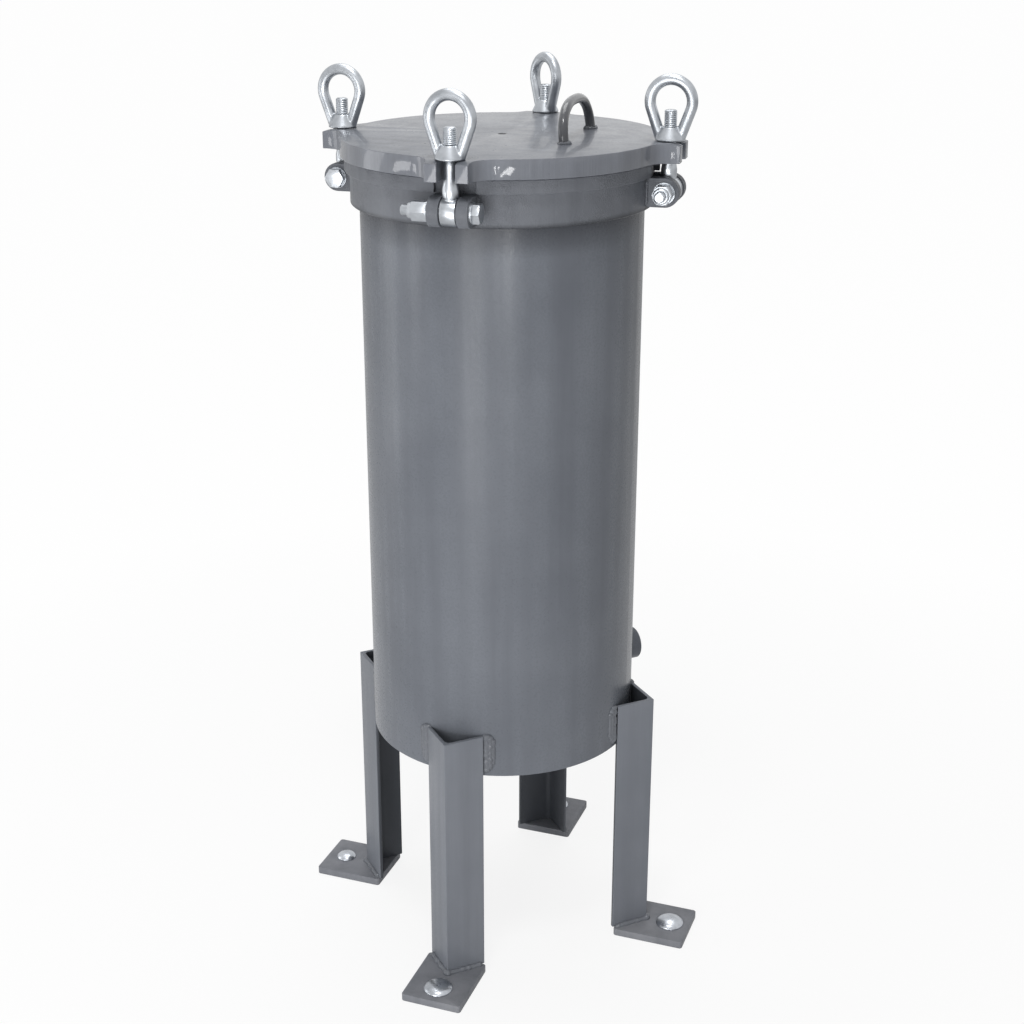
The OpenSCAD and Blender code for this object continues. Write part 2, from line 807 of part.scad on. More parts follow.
leg(left);  // leg_left
foot_plate(front);  // foot_plate_front
foot_plate(right);  // foot_plate_right
foot_plate(rear);  // foot_plate_rear
foot_plate(left);  // foot_plate_left
inlet_socket();
outlet_socket();
drain_socket();
seat_ring();
sheet_gasket();
tube_sheet();
sheet_screws();
cartridge(0);  // cartridge_centre
cartridge(1);  // cartridge_1
cartridge(2);  // cartridge_2
cartridge(3);  // cartridge_3
cartridge(4);  // cartridge_4
cartridge(5);  // cartridge_5
cartridge(6);  // cartridge_6
hold_down_plate();
tie_rods();
tie_rod_washers();
tie_rod_nuts();
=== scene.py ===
import bpy
import bmesh
import json
import math
import random
from mathutils import Matrix, Vector, noise


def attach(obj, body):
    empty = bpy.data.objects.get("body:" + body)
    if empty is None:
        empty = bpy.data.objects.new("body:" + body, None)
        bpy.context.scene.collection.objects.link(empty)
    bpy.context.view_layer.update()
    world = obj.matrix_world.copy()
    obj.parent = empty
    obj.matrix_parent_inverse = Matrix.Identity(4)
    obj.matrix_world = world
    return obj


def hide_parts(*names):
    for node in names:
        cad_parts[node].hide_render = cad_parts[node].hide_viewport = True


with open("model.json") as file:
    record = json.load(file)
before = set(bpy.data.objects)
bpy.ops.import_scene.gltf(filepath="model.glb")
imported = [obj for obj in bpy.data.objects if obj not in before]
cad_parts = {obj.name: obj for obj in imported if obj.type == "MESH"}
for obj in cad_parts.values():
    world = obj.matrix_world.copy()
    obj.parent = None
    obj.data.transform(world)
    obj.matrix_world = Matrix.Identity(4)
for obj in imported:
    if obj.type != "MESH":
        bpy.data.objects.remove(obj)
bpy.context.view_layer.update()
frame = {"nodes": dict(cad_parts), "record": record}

MM = 0.001
SIDES = {"front": -90, "right": 0, "rear": 90, "left": 180}
CLOSURE_TURN = 4.0      # the closure's turn against the legs, degrees
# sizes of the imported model, in millimetres
SHELL_R = 136.5
SHELL_LOW = 229.0
RING_R = 145.0
PIN_CIRCLE = 161.0
PIN_Z = 797.0
LID_TOP = 842.3
LUG_ROOT = 147.04       # plane where a lug is set on the lid's disc
BOLT_TOP = 870.3
BOLT_R = 6.0            # M12
BOLT_PITCH = 1.75
THREAD_FROM = 838.0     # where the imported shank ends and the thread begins
LEG_TOP = 274.0
ANCHOR_CIRCLE = 192.662
# the handle as the photograph shows it: its middle on the lid, half its width, its height
HANDLE_AT = (72.3, 5.0)
HANDLE_HALF = 52.5
HANDLE_RISE = 33.6
HANDLE_LEAN = math.radians(6.5)
HANDLE_BAR_R = 4.6
HANDLE_WELD_R = 5.0
random.seed(11)
noise.seed_set(11)      # noise_vector takes its offsets from this


# Mesh helpers

def linked(name, data):
    ob = bpy.data.objects.new(name, data)
    bpy.context.scene.collection.objects.link(ob)
    return ob


def mesh_from(bm, name, sharp=None):
    """Mesh of bm, smooth where its faces meet at less than sharp degrees, or else flat."""
    bmesh.ops.remove_doubles(bm, verts=bm.verts, dist=1e-7)
    bmesh.ops.recalc_face_normals(bm, faces=bm.faces)
    me = bpy.data.meshes.new(name)
    bm.to_mesh(me)
    bm.free()
    if sharp:
        me.shade_smooth()
        me.set_sharp_from_angle(angle=math.radians(sharp))
    return me


def add(name, me, body, material, replaces=()):
    ob = linked(name, me)
    me.materials.clear()
    me.materials.append(material)
    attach(ob, body)
    if replaces:
        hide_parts(*replaces)


def at_pin(side):
    """Closure station: +X outwards, +Y along the hinge axis, z = 0 on that axis."""
    a = math.radians(SIDES[side] + CLOSURE_TURN)
    return Matrix.Rotation(a, 4, "Z") @ Matrix.Translation((PIN_CIRCLE * MM, 0, PIN_Z * MM))


def at_side(side):
    return Matrix.Rotation(math.radians(SIDES[side]), 4, "Z")


def lathe(bm, profile, place, segments):
    """Closed turned body. profile is [(radius, height)] in millimetres, from axis to axis."""
    rings = []
    for r, h in profile:
        if r <= 1e-6:
            rings.append([bm.verts.new(place @ Vector((0, 0, h * MM)))])
        else:
            rings.append([bm.verts.new(place @ Vector((
                r * MM * math.cos(2 * math.pi * i / segments),
                r * MM * math.sin(2 * math.pi * i / segments), h * MM))) for i in range(segments)])
    for lo, hi in zip(rings, rings[1:]):
        for i in range(segments):
            j = (i + 1) % segments
            if len(lo) == 1 and len(hi) == 1:
                continue
            if len(lo) == 1:
                bm.faces.new((lo[0], hi[j], hi[i]))
            elif len(hi) == 1:
                bm.faces.new((lo[i], lo[j], hi[0]))
            else:
                bm.faces.new((lo[i], lo[j], hi[j], hi[i]))


def sweep(bm, path, radii, segments=10, closed=False):
    """Tube along a path of Vectors (metres), with one radius (metres) at each point."""
    n = len(path)
    rings = []
    normal = None
    for i, p in enumerate(path):
        ahead = path[(i + 1) % n] if closed or i + 1 < n else p
        behind = path[i - 1] if closed or i > 0 else p
        t = (ahead - behind).normalized()
        if normal is None:
            normal = t.cross(Vector((0, 0, 1)))
            if normal.length < 0.1:
                normal = t.cross(Vector((1, 0, 0)))
        normal = (normal - t * normal.dot(t)).normalized()
        side = t.cross(normal)
        ring = []
        for k in range(segments):
            a = 2 * math.pi * k / segments
            ring.append(bm.verts.new(p + (normal * math.cos(a) + side * math.sin(a)) * radii[i]))
        rings.append(ring)
    pairs = list(zip(rings, rings[1:])) + ([(rings[-1], rings[0])] if closed else [])
    for lo, hi in pairs:
        for k in range(segments):
            j = (k + 1) % segments
            bm.faces.new((lo[k], lo[j], hi[j], hi[k]))
    if not closed:
        bm.faces.new(list(reversed(rings[0])))
        bm.faces.new(rings[-1])


def resample(points, step):
    out = [points[0].copy()]
    left = step
    for a, b in zip(points, points[1:]):
        d = (b - a).length
        at = left
        while at < d:
            out.append(a.lerp(b, at / d))
            at += step
        left = at - d
    out.append(points[-1].copy())
    return out


def bead(bm, points, radius, pitch=2.3, ripple=0.13, rough=0.12, closed=False, lumps=()):
    """Hand-laid weld bead along points in millimetres, with its ripples and uneven width.

    lumps is [(place, size)], with the place as a share of the bead's length.
    """
    step = 0.55
    path = resample([Vector(p) * MM for p in points], step * MM)
    if closed:
        path = path[:-1]
    n = len(path)
    seed = Vector((random.random() * 50, random.random() * 50, 0))
    radii = []
    for i, p in enumerate(path):
        s = i * step
        # ripples, uneven width, and ends that taper over five points
        wave = 1 + ripple * (2 * ((s / pitch) % 1) - 1)
        uneven = 1 + rough * 2 * noise.noise(p * 220 + seed)
        end = 1 if closed else min(1, 0.45 + 0.55 * min(i, n - 1 - i) / 5)
        r = radius * wave * uneven * end
        for where, size in lumps:
            at = where * (n - 1)
            r += size * math.exp(-((i - at) * step / 2.6) ** 2)
        radii.append(r * MM)
        p += noise.noise_vector(p * 300 + seed) * radius * 0.10 * MM
    sweep(bm, path, radii, closed=closed)


def baked(ob, name):
    """The object's mesh with its modifiers applied. The object itself goes."""
    out = bpy.data.meshes.new_from_object(ob.evaluated_get(bpy.context.evaluated_depsgraph_get()))
    bpy.data.objects.remove(ob)
    out.name = name
    return out


def rounded(node, width, segments, angle, name):
    """The node's own mesh, cleaned and with its edges eased over, as a new mesh."""
    bm = bmesh.new()
    bm.from_mesh(frame["nodes"][node].data)
    bmesh.ops.remove_doubles(bm, verts=bm.verts, dist=1e-6)
    bmesh.ops.dissolve_limit(bm, angle_limit=math.radians(0.3), verts=bm.verts, edges=bm.edges)
    me = bpy.data.meshes.new("tmp")
    bm.to_mesh(me)
    bm.free()
    return eased(me, width, segments, angle, name)


def eased(me, width, segments, angle, name):
    """The mesh with its edges eased over by width millimetres, where they are sharper than angle."""
    ob = linked("tmp", me)
    me.shade_smooth()
    mod = ob.modifiers.new("ease", "BEVEL")
    mod.width = width * MM
    mod.segments = segments
    mod.limit_method = "ANGLE"
    mod.angle_limit = math.radians(angle)
    mod.use_clamp_overlap = True
    mod.harden_normals = True
    return baked(ob, name)


def forged(node, voxel, passes, name):
    """The node's own mesh with its creases flowed together, as a drop forging has them."""
    ob = linked("tmp", frame["nodes"][node].data.copy())
    mod = ob.modifiers.new("r", "REMESH")
    mod.mode = "VOXEL"
    mod.voxel_size = voxel * MM
    soft = ob.modifiers.new("s", "SMOOTH")
    soft.factor = 0.5
    soft.iterations = passes
    out = baked(ob, name)
    out.shade_smooth()
    return out


# Materials

class Nodes:
    """Small helper round one material's node tree."""

    def __init__(self, name):
        self.mat = bpy.data.materials.new(name)
        self.mat.use_nodes = True
        self.tree = self.mat.node_tree
        self.bsdf = self.tree.nodes["Principled BSDF"]

    def new(self, kind, **inputs):
        node = self.tree.nodes.new(kind)
        for name, value in inputs.items():
            self.put(node.inputs[name], value)
        return node

    def put(self, socket, value):
        if isinstance(value, bpy.types.NodeSocket):
            self.tree.links.new(value, socket)
        else:
            socket.default_value = value

    def place(self, kind="Object"):
        return self.new("ShaderNodeTexCoord").outputs[kind]

    def coords(self, scale):
        return self.new("ShaderNodeMapping", Vector=self.place(), Scale=scale).outputs["Vector"]

    def from_axis(self):
        """Way from the upright axis to the shaded place, with the height taken out."""
        return self.vector("MULTIPLY", self.place(), (1, 1, 0))

    def noise(self, scale, detail=3.0, rough=0.5, stretch=(1, 1, 1)):
        node = self.new("ShaderNodeTexNoise", Scale=scale, Detail=detail, Roughness=rough)
        self.put(node.inputs["Vector"], self.coords(stretch))
        return node.outputs["Fac"]

    def ramp(self, fac, lo, hi, to_lo, to_hi):
        node = self.new("ShaderNodeMapRange")
        self.put(node.inputs["Value"], fac)
        for key, value in (("From Min", lo), ("From Max", hi), ("To Min", to_lo), ("To Max", to_hi)):
            node.inputs[key].default_value = value
        return node.outputs["Result"]

    def math(self, op, a, b=0.0):
        node = self.new("ShaderNodeMath")
        node.operation = op
        self.put(node.inputs[0], a)
        self.put(node.inputs[1], b)
        return node.outputs[0]

    def mix(self, fac, a, b):
        node = self.new("ShaderNodeMix")
        node.data_type = "RGBA"
        # sockets 6, 7 and 2 are the ones for colours
        self.put(node.inputs[0], fac)
        self.put(node.inputs[6], a)
        self.put(node.inputs[7], b)
        return node.outputs[2]

    def bump(self, height, strength, distance, normal=None):
        node = self.new("ShaderNodeBump", Strength=strength, Distance=distance)
        self.put(node.inputs["Height"], height)
        if normal is not None:
            self.put(node.inputs["Normal"], normal)
        return node.outputs["Normal"]

    def vector(self, op, a, b=None):
        node = self.new("ShaderNodeVectorMath")
        node.operation = op
        self.put(node.inputs[0], a)
        if b is not None:
            self.put(node.inputs[1], b)
        return node.outputs["Value" if op in ("LENGTH", "DOT_PRODUCT") else "Vector"]

    def height_of(self, vector):
        node = self.new("ShaderNodeSeparateXYZ")
        self.put(node.inputs[0], vector)
        return node.outputs["Z"]


def rgb(r, g, b):
    def lin(c):
        c /= 255
        return c / 12.92 if c <= 0.04045 else ((c + 0.055) / 1.055) ** 2.4
    return (lin(r), lin(g), lin(b), 1)


def paint(name, base, light, dark, rough, grain=0.10, coat=0.0,
          lid=False, painted_shade_band=None, pitted=False, painted_shade_inside=False):
    """Sprayed grey enamel over steel: faint runs down the sheet, orange peel, scuffs.

    lid adds the wiped streaks, the turning centre and the flame-cut edge of the lid.
    The band of two heights in metres, (clear, dark), paints shade between them: the shadow
    along the closure ring's lower edge and on the shell under it. pitted gives rough patches,
    as the skin of a flange has them. The inside flag paints the faces that look at the object's
    axis a dark grey, as painted shade where the vessel shadows the legs' inner faces.
    """
    n = Nodes(name)
    cloud = n.noise(9, 3, 0.55)
    runs = n.noise(1, 4, 0.6, (46, 46, 1.6))
    colour = n.mix(n.ramp(cloud, 0.35, 0.68, 0, 0.55), base, light)
    colour = n.mix(n.ramp(runs, 0.42, 0.72, 0, 0.5), colour, dark)
    scuff = n.noise(1, 5, 0.7, (170, 170, 12))
    colour = n.mix(n.ramp(scuff, 0.66, 0.74, 0, 0.35), colour, light)
    if lid:
        # streaks of the wiped-on enamel across the plate, and the dark turning centre
        wiped = n.noise(1, 4, 0.65, (7, 60, 7))
        colour = n.mix(n.ramp(wiped, 0.45, 0.7, 0, 0.6), colour, light)
        away = n.vector("LENGTH", n.from_axis())
        colour = n.mix(n.ramp(away, 0.0035, 0.006, 0.85, 0), colour, rgb(38, 39, 42))
    # painted shade: the shadow along the ring's lower edge and on the shell under the ring
    if painted_shade_band:
        wander = n.math("MULTIPLY", n.math("SUBTRACT", cloud, 0.5), 0.005)
        height = n.math("ADD", n.height_of(n.place()), wander)
        upward = painted_shade_band[0] < painted_shade_band[1]
        shadow = rgb(62, 64, 69) if upward else rgb(40, 42, 46)
        fall = (0, 0.85) if upward else (0.85, 0)
        colour = n.mix(n.ramp(height, *sorted(painted_shade_band), *fall), colour, shadow)
    # painted shade: faces turned to the axis darkened, for the vessel's shadow on the legs' inner faces
    if painted_shade_inside:
        outward = n.vector("DOT_PRODUCT", n.vector("NORMALIZE", n.from_axis()), n.place("Normal"))
        colour = n.mix(n.ramp(outward, -0.6, -0.25, 0.8, 0), colour, rgb(52, 55, 60))
    n.put(n.bsdf.inputs["Base Color"], colour)
    fine = n.noise(420, 2, 0.5)
    matt = n.ramp(n.math("ADD", fine, runs), 0.7, 1.3, rough - 0.05, rough + 0.09)
    n.put(n.bsdf.inputs["Roughness"], matt)
    peel = n.noise(260, 2, 0.55)
    wide = n.noise(28, 3, 0.5)
    skin = n.bump(wide, 0.12, 0.0012)
    if pitted:
        patch = n.ramp(n.noise(16, 3, 0.6), 0.42, 0.70, 0, 1)
        skin = n.bump(n.math("MULTIPLY", n.noise(620, 3, 0.7), patch), 1.0, 0.0022, skin)
    if lid:
        # the flame-cut edge: fine upright ridges under the enamel, glossier than the face
        edge = n.ramp(n.math("ABSOLUTE", n.height_of(n.place("Normal"))), 0.3, 0.7, 1, 0)
        ridges = n.math("MULTIPLY", n.noise(1, 3, 0.6, (210, 210, 0.4)), edge)
        skin = n.bump(ridges, 0.35, 0.0012, skin)
        n.put(n.bsdf.inputs["Coat Weight"], n.ramp(edge, 0, 1, coat, 0.7))
        n.put(n.bsdf.inputs["Coat Normal"], n.bump(ridges, 0.03, 0.0012))
    else:
        n.bsdf.inputs["Coat Weight"].default_value = coat
    n.put(n.bsdf.inputs["Normal"], n.bump(peel, grain, 0.0006, skin))
    n.bsdf.inputs["Specular IOR Level"].default_value = 0.2
    n.bsdf.inputs["Coat Roughness"].default_value = 0.06
    return n.mat


def metal(name, base, dark, rough, spread, pits, scale=160):
    """Bright zinc on forged or machined steel: a clouded plate, fine pits, dull patches."""
    n = Nodes(name)
    cloud = n.noise(70, 4, 0.6)
    n.put(n.bsdf.inputs["Base Color"], n.mix(n.ramp(cloud, 0.4, 0.75, 0, 0.7), base, dark))
    fine = n.noise(scale, 3, 0.6)
    n.put(n.bsdf.inputs["Roughness"], n.ramp(fine, 0.3, 0.7, rough, rough + spread))
    n.put(n.bsdf.inputs["Normal"], n.bump(fine, pits, 0.0004))
    n.bsdf.inputs["Metallic"].default_value = 1.0
    return n.mat


# the shell's and the ring's bands under the ring, and the legs' darkened inner faces, are painted shade
GREY = paint("grey_enamel", rgb(103, 107, 114), rgb(120, 124, 131), rgb(88, 91, 98), 0.27,
             painted_shade_band=(0.752, 0.781))
RING = paint("grey_enamel_rough", rgb(103, 106, 112), rgb(120, 123, 129), rgb(88, 91, 97), 0.36, 0.34,
             painted_shade_band=(0.7845, 0.7795), pitted=True)
LID = paint("grey_enamel_lid", rgb(106, 109, 116), rgb(124, 128, 136), rgb(95, 98, 105), 0.32, 0.12, 0.22,
            lid=True)
LEG = paint("grey_enamel_leg", rgb(114, 118, 125), rgb(128, 131, 138), rgb(103, 106, 113), 0.38, 0.14,
            painted_shade_inside=True)
FOOT = paint("grey_enamel_foot", rgb(124, 126, 132), rgb(142, 143, 147), rgb(98, 101, 107), 0.46, 0.20)
HANDLE = paint("grey_enamel_handle", rgb(76, 77, 81), rgb(98, 101, 106), rgb(60, 61, 65), 0.3, 0.2, 0.7)
WELD = paint("grey_enamel_weld", rgb(102, 105, 111), rgb(118, 121, 127), rgb(86, 89, 95), 0.32, 0.2, 0.15)
ZINC = metal("bright_zinc", rgb(186, 190, 195), rgb(138, 142, 147), 0.30, 0.10, 0.06)
FORGED = metal("zinc_forging", rgb(180, 184, 189), rgb(128, 132, 137), 0.32, 0.10, 0.10, 120)
CHROME = metal("bright_anchor", rgb(186, 190, 196), rgb(128, 132, 138), 0.24, 0.10, 0.25, 90)
STEEL = metal("stainless_sheet", rgb(190, 190, 190), rgb(165, 165, 166), 0.30, 0.12, 0.08, 300)


def rubber_material():
    n = Nodes("black_rubber")
    cloud = n.ramp(n.noise(90, 3), 0.4, 0.7, 0, 1)
    n.put(n.bsdf.inputs["Base Color"], n.mix(cloud, rgb(22, 22, 23), rgb(38, 38, 39)))
    n.bsdf.inputs["Roughness"].default_value = 0.62
    n.put(n.bsdf.inputs["Normal"], n.bump(n.noise(700, 2), 0.1, 0.0003))
    return n.mat


def felt_material():
    n = Nodes("wound_felt")
    wave = n.new("ShaderNodeTexWave", Scale=110, Distortion=2.0, Detail=2)
    wave.bands_direction = "Z"
    n.put(wave.inputs["Vector"], n.coords((1, 1, 1)))
    fibre = n.noise(600, 4, 0.7)
    strand = n.math("MULTIPLY", wave.outputs["Fac"], fibre)
    n.put(n.bsdf.inputs["Base Color"], n.mix(strand, rgb(214, 210, 200), rgb(244, 242, 236)))
    n.bsdf.inputs["Roughness"].default_value = 0.92
    n.put(n.bsdf.inputs["Normal"], n.bump(n.math("ADD", wave.outputs["Fac"], fibre), 0.3, 0.0008))
    return n.mat


RUBBER = rubber_material()
FELT = felt_material()

SLOT = {"grey_paint": GREY, "lid_paint": LID, "zinc": ZINC, "stainless": STEEL, "rubber": RUBBER,
        "felt": FELT}
for entry in frame["record"]["subparts"]:
    ob = frame["nodes"][entry["node"]]
    mat = SLOT[entry["material_slot"]]
    if ob.material_slots:
        for s in ob.material_slots:
            s.material = mat
    else:
        ob.data.materials.append(mat)


# Painted steelwork

def replace_rounded(node, width, mat, segments=3, angle=32):
    """A piece of the housing with its edges eased over, in the place of its node."""
    name = node + "_eased"
    add(name, rounded(node, width, segments, angle, name), "housing", mat, [node])


def whole_lid(width):
    """The disc and its four lugs as one plate, without the seams between the nodes."""
    nodes = ["lid_plate"] + ["lid_lug_" + side for side in SIDES]
    bm = bmesh.new()
    for node in nodes:
        bm.from_mesh(frame["nodes"][node].data)
    bmesh.ops.remove_doubles(bm, verts=bm.verts, dist=0.02 * MM)
    seams = set()
    for side in SIDES:
        a = math.radians(SIDES[side] + CLOSURE_TURN)
        out = Vector((math.cos(a), math.sin(a), 0))
        for f in bm.faces:
            if abs(f.normal.dot(out)) > 0.999 and abs(f.calc_center_median().dot(out) / MM - LUG_ROOT) < 0.1:
                seams.add(f)
    bmesh.ops.delete(bm, geom=list(seams), context="FACES")
    bmesh.ops.dissolve_limit(bm, angle_limit=math.radians(0.3), verts=bm.verts, edges=bm.edges)
    me = bpy.data.meshes.new("tmp")
    bm.to_mesh(me)
    bm.free()
    add("lid_one_piece", eased(me, width, 4, 32, "lid_one_piece"), "lid", LID, nodes)


def toe_welds(bm, side):
    """Both toes of a leg: low runs side by side, a broad pad that fades into the shell."""
    # distance from the leg's middle, depth of the bead's middle in the shell, radius, and how
    # much shorter the run is
    runs = ((31.2, 1.2, 4.4, 0), (34.6, 1.0, 3.6, 3), (37.6, 1.0, 2.6, 8))
    for s in (-1, 1):
        for along, below, radius, short in runs:
            out = math.sqrt((SHELL_R - below) ** 2 - along ** 2)
            low = SHELL_LOW + 3.5 + short
            rise = LEG_TOP - SHELL_LOW - 1.5 - 1.7 * short
            run = [at_side(side) @ Vector((out, s * along, low + rise * i / 11)) for i in range(12)]
            bead(bm, run, radius, pitch=5.0, ripple=0.02, rough=0.10, lumps=[(0.97, 0.9)])


def foot_weld(bm, side):
    """Along both outer faces of a leg, on its foot plate."""
    corners = ((139.6, -28.0, 8.5), (166.6, -0.8, 8.5), (166.6, 0.8, 8.5), (139.6, 28.0, 8.5))
    run = [at_side(side) @ Vector(p) for p in corners]
    bead(bm, run, 3.2, pitch=4.6, ripple=0.03, rough=0.12, lumps=[(0.5, 1.1), (0.2, 0.4), (0.8, 0.4)])


def ear_welds(bm, side):
    """Up the ring, at both faces of both ears of a clevis."""
    a = math.radians(SIDES[side] + CLOSURE_TURN)
    for v in (-19.3, -7.7, 7.7, 19.3):
        u = math.sqrt(RING_R ** 2 - v * v) + 0.5
        x = u * math.cos(a) - v * math.sin(a)
        y = u * math.sin(a) + v * math.cos(a)
        bead(bm, [(x, y, z) for z in (785, 795, 809)], 1.5)


def weld_beads():
    bm = bmesh.new()
    for side in SIDES:
        toe_welds(bm, side)
        foot_weld(bm, side)
        ear_welds(bm, side)
    add("weld_beads", mesh_from(bm, "weld_beads", 60), "housing", WELD)


def bow_at(t):
    """Point on the middle line of the handle's bow in millimetres, t from 0 to 1 foot to foot.

    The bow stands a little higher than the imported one.
    """
    a = math.pi * (1 - t)
    along = HANDLE_HALF * math.copysign(abs(math.cos(a)) ** 0.8, math.cos(a))
    rise = HANDLE_RISE * abs(math.sin(a)) ** 0.8
    turn = Matrix.Rotation(math.radians(CLOSURE_TURN), 4, "Z")
    return turn @ Vector((HANDLE_AT[0] - rise * math.sin(HANDLE_LEAN), HANDLE_AT[1] + along,
                          LID_TOP + rise * math.cos(HANDLE_LEAN)))


def handle():
    """One bent bar, and the weld round each of its feet."""
    bm = bmesh.new()
    path = resample([bow_at(i / 240) * MM for i in range(241)], 1.4 * MM)
    path[0].z = path[-1].z = (LID_TOP - 0.5) * MM
    seed = Vector((3.1, 7.7, 1.9))
    sweep(bm, path, [(HANDLE_BAR_R + 0.16 * noise.noise(q * 90 + seed)) * MM for q in path], 28)
    add("handle_bow", mesh_from(bm, "handle_bow", 60), "lid", HANDLE, ["lid_handle"])
    bm = bmesh.new()
    for end in (0, 1):
        ring = []
        for i in range(37):
            a = i * math.pi / 18
            from_bar = (HANDLE_WELD_R * math.cos(a), HANDLE_WELD_R * math.sin(a), 0.5)
            ring.append(bow_at(end) + Vector(from_bar))
        bead(bm, ring, 1.8, pitch=3.4, ripple=0.2, rough=0.5, closed=True)
    add("handle_welds", mesh_from(bm, "handle_welds", 60), "lid", WELD)


whole_lid(1.5)
replace_rounded("closure_ring", 0.9, RING)
for side in SIDES:
    replace_rounded("clevis_" + side, 1.1, RING)
    replace_rounded("leg_" + side, 0.7, LEG)
    replace_rounded("foot_plate_" + side, 1.2, FOOT)
    replace_rounded("hinge_pin_" + side, 0.35, ZINC, 2, 25)
    replace_rounded("pin_nut_" + side, 0.35, ZINC, 2, 25)
weld_beads()
handle()


# Hardware

def thread(bm, place, r, pitch, z0, z1, depth, segments=32, per=8):
    """Threaded rod end between heights z0 and z1 in millimetres, with its tip chamfered."""
    rows = int((z1 - z0) / pitch * per)
    rings = []
    for i in range(rows + 1):
        z = z0 + (z1 - z0) * i / rows
        ring = []
        for k in range(segments):
            t = (z / pitch - k / segments) % 1
            # flats at crest and root, two pitches to run out into the shank, chamfer at the tip
            cut = depth * min(1, max(0, 1.25 * abs(2 * t - 1) - 0.1))
            cut *= min(1, (z - z0) / (2 * pitch))
            rr = min(r - cut, r - 1.5 * max(0, 1.1 - (z1 - z)))
            a = 2 * math.pi * k / segments
            ring.append(bm.verts.new(place @ Vector((rr * MM * math.cos(a), rr * MM * math.sin(a), z * MM))))
        rings.append(ring)
    for lo, hi in zip(rings, rings[1:]):
        for k in range(segments):
            j = (k + 1) % segments
            bm.faces.new((lo[k], lo[j], hi[j], hi[k]))
    bm.faces.new(list(reversed(rings[0])))
    bm.faces.new(rings[-1])


def swing_bolt(side):
    """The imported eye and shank, with a real thread at its end."""
    node = "swing_bolt_" + side
    bm = bmesh.new()
    bm.from_mesh(rounded(node, 0.5, 2, 30, node))
    bmesh.ops.bisect_plane(bm, geom=bm.verts[:] + bm.edges[:] + bm.faces[:],
                           plane_co=(0, 0, THREAD_FROM * MM), plane_no=(0, 0, 1), clear_outer=True)
    bmesh.ops.holes_fill(bm, edges=[e for e in bm.edges if e.is_boundary])
    thread(bm, at_pin(side), BOLT_R, BOLT_PITCH, THREAD_FROM - 0.5 - PIN_Z, BOLT_TOP - PIN_Z, 0.6)
    add(node + "_threaded", mesh_from(bm, node + "_threaded", 40), "bolt_" + side, ZINC, [node])


def eye_nut(side):
    """The lifting-eye nut, with the creases of a drop forging."""
    node = "eye_nut_" + side
    add(node + "_forged", forged(node, 0.75, 5, node + "_forged"), "nut_" + side, FORGED, [node])


# radius and height of the anchors' domes, which aren't alike in the photograph
ANCHORS = {"front": (14.0, 4.6), "right": (14.0, 5.2), "rear": (13.0, 4.6), "left": (10.0, 4.0)}


def anchor_head(side):
    """Domed anchor head in a foot plate's hole."""
    bm = bmesh.new()
    wide, high = ANCHORS[side]
    # (radius, height): the shank in its hole, the rim on the plate, the dome
    dome = [(0, 1.0), (5.6, 1.0), (5.6, 7.9), (wide + 0.7, 8.0), (wide + 0.9, 8.5), (wide + 0.7, 9.2)]
    for i in range(1, 9):
        t = i / 8 * math.pi / 2
        dome.append((wide * math.cos(t * 0.98) + 0.2, 9.4 + high * math.sin(t) ** 1.3))
    dome.append((0, 9.4 + high))
    lathe(bm, dome, at_side(side) @ Matrix.Translation((ANCHOR_CIRCLE * MM, 0, 0)), 40)
    add("anchor_head_" + side, mesh_from(bm, "anchor_head_" + side, 40), "housing", CHROME)


for side in SIDES:
    swing_bolt(side)
    eye_nut(side)
    anchor_head(side)


# Stage, light, camera

def floor():
    bm = bmesh.new()
    corners = [bm.verts.new((x, y, 0)) for x, y in ((-30, -30), (30, -30), (30, 30), (-30, 30))]
    bm.faces.new(corners)
    me = mesh_from(bm, "floor")
    ob = linked("floor", me)
    n = Nodes("pale_floor")
    n.bsdf.inputs["Base Color"].default_value = (0.95, 0.95, 0.95, 1)
    n.bsdf.inputs["Roughness"].default_value = 0.8
    n.bsdf.inputs["Specular IOR Level"].default_value = 0.1
    glow = n.new("ShaderNodeEmission", Strength=1.0)
    ray = n.new("ShaderNodeLightPath").outputs
    # mirrored in the paint, the floor counts less than seen outright
    mirrored = n.math("MULTIPLY", ray["Is Glossy Ray"], 0.45)
    seen = n.math("MAXIMUM", ray["Is Camera Ray"], n.math("MAXIMUM", mirrored, ray["Is Transmission Ray"]))
    mixed = n.new("ShaderNodeMixShader")
    # the shadow falls on the floor round the feet, and further out the floor goes over into white
    away = n.vector("LENGTH", n.place())
    n.put(mixed.inputs[0], n.math("MULTIPLY", seen, n.ramp(away, 0.42, 1.2, 0.86, 0.98)))
    n.tree.links.new(n.bsdf.outputs[0], mixed.inputs[1])
    n.tree.links.new(glow.outputs[0], mixed.inputs[2])
    n.tree.links.new(mixed.outputs[0], n.tree.nodes["Material Output"].inputs["Surface"])
    me.materials.append(n.mat)


floor()


def surroundings():
    """White where rays see it, and a weak even light on what it shines on."""
    world = bpy.data.worlds.new("studio")
    bpy.context.scene.world = world
    world.use_nodes = True
    nodes, link = world.node_tree.nodes, world.node_tree.links.new
    nodes.clear()
    out = nodes.new("ShaderNodeOutputWorld")
    white = nodes.new("ShaderNodeBackground")
    white.inputs["Color"].default_value = (1, 1, 1, 1)
    ray = nodes.new("ShaderNodeLightPath").outputs
    seen = ray["Is Camera Ray"]
    for kind in ("Is Transmission Ray", "Is Glossy Ray"):
        either = nodes.new("ShaderNodeMath")
        either.operation = "MAXIMUM"
        link(seen, either.inputs[0])
        link(ray[kind], either.inputs[1])
        seen = either.outputs[0]
    strength = nodes.new("ShaderNodeMapRange")
    strength.inputs["To Min"].default_value = 0.26
    strength.inputs["To Max"].default_value = 1.0
    link(seen, strength.inputs["Value"])
    link(strength.outputs["Result"], white.inputs["Strength"])
    link(white.outputs[0], out.inputs["Surface"])


surroundings()


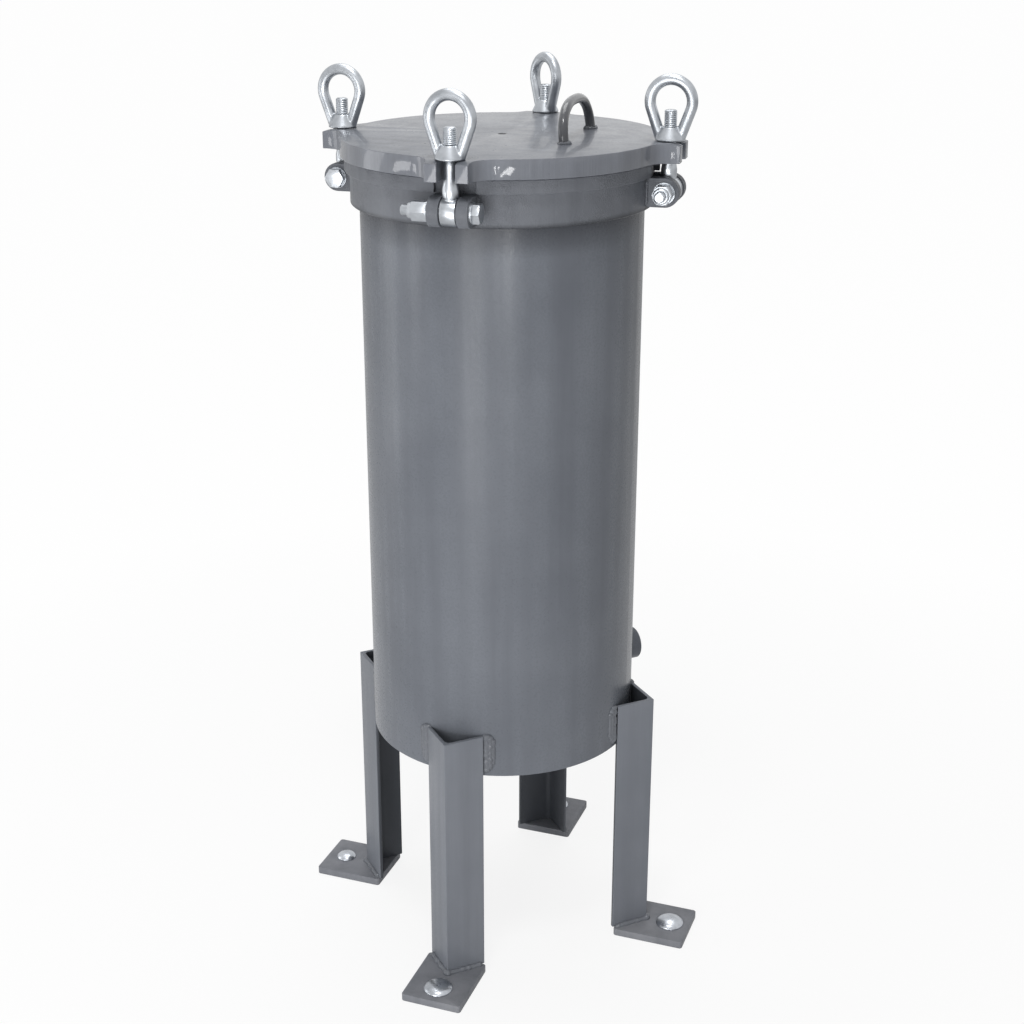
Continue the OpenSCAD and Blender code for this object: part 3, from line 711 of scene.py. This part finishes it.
# name, place, point that it looks at, width and height in metres, watts
LAMPS = (
    # two tall ones low in front and on the left, which stand as soft streaks on the shell
    ("front", (-0.08, -1.6, 0.55), (0, 0, 0.55), 0.46, 1.1, 9.6),
    ("side", (-1.55, -0.32, 0.55), (0, 0, 0.55), 0.5, 1.1, 3.0),
    # a compact one high in front, and a broad one over the lid
    ("high", (0.28, -1.06, 3.16), (0, 0, 0.6), 0.55, 0.55, 26),
    ("top", (-0.3, 0.9, 3.0), (0, 0, 0.8), 1.6, 1.6, 26),
    # three small ones further out, which the upright rim of the lid mirrors as its glints
    ("glint_left", (-1.71, -1.385, 0.41), (0, 0, 0.83), 0.5, 0.40, 3.6),
    ("glint_front", (0.62, -2.11, 0.41), (0, 0, 0.83), 0.09, 0.40, 2.4),
    ("glint_right", (0.947, -1.986, 0.41), (0, 0, 0.83), 0.22, 0.40, 4.6),
)
for name, at, look, wide, high, watts in LAMPS:
    light = bpy.data.lights.new(name, "AREA")
    light.shape = "RECTANGLE"
    light.size = wide
    light.size_y = high
    light.energy = watts
    ob = linked(name, light)
    ob.location = at
    ob.rotation_mode = "QUATERNION"
    ob.rotation_quaternion = (Vector(look) - Vector(at)).to_track_quat("-Z", "Y")
    ob.visible_camera = False

# the camera as fitted to points of the photograph
cam_data = bpy.data.cameras.new("camera")
cam_data.sensor_width = 36
cam_data.lens = 59.15
cam_data.shift_x = 0.0093
cam_data.clip_start, cam_data.clip_end = 0.05, 100
cam = linked("camera", cam_data)
bpy.context.scene.camera = cam
yaw, pitch, roll = math.radians(20.110), math.radians(20.80), math.radians(-0.06)
forward = Vector((-math.sin(yaw) * math.cos(pitch), math.cos(yaw) * math.cos(pitch), -math.sin(pitch)))
right = Vector((math.cos(yaw), math.sin(yaw), 0))
up = right.cross(forward)
across = right * math.cos(roll) + up * math.sin(roll)
above = up * math.cos(roll) - right * math.sin(roll)
cam.location = (0.555187, -1.516295, 1.072854)
cam.rotation_mode = "QUATERNION"
cam.rotation_quaternion = Matrix((across, above, -forward)).transposed().to_quaternion()
bpy.context.scene.view_settings.view_transform = "Standard"
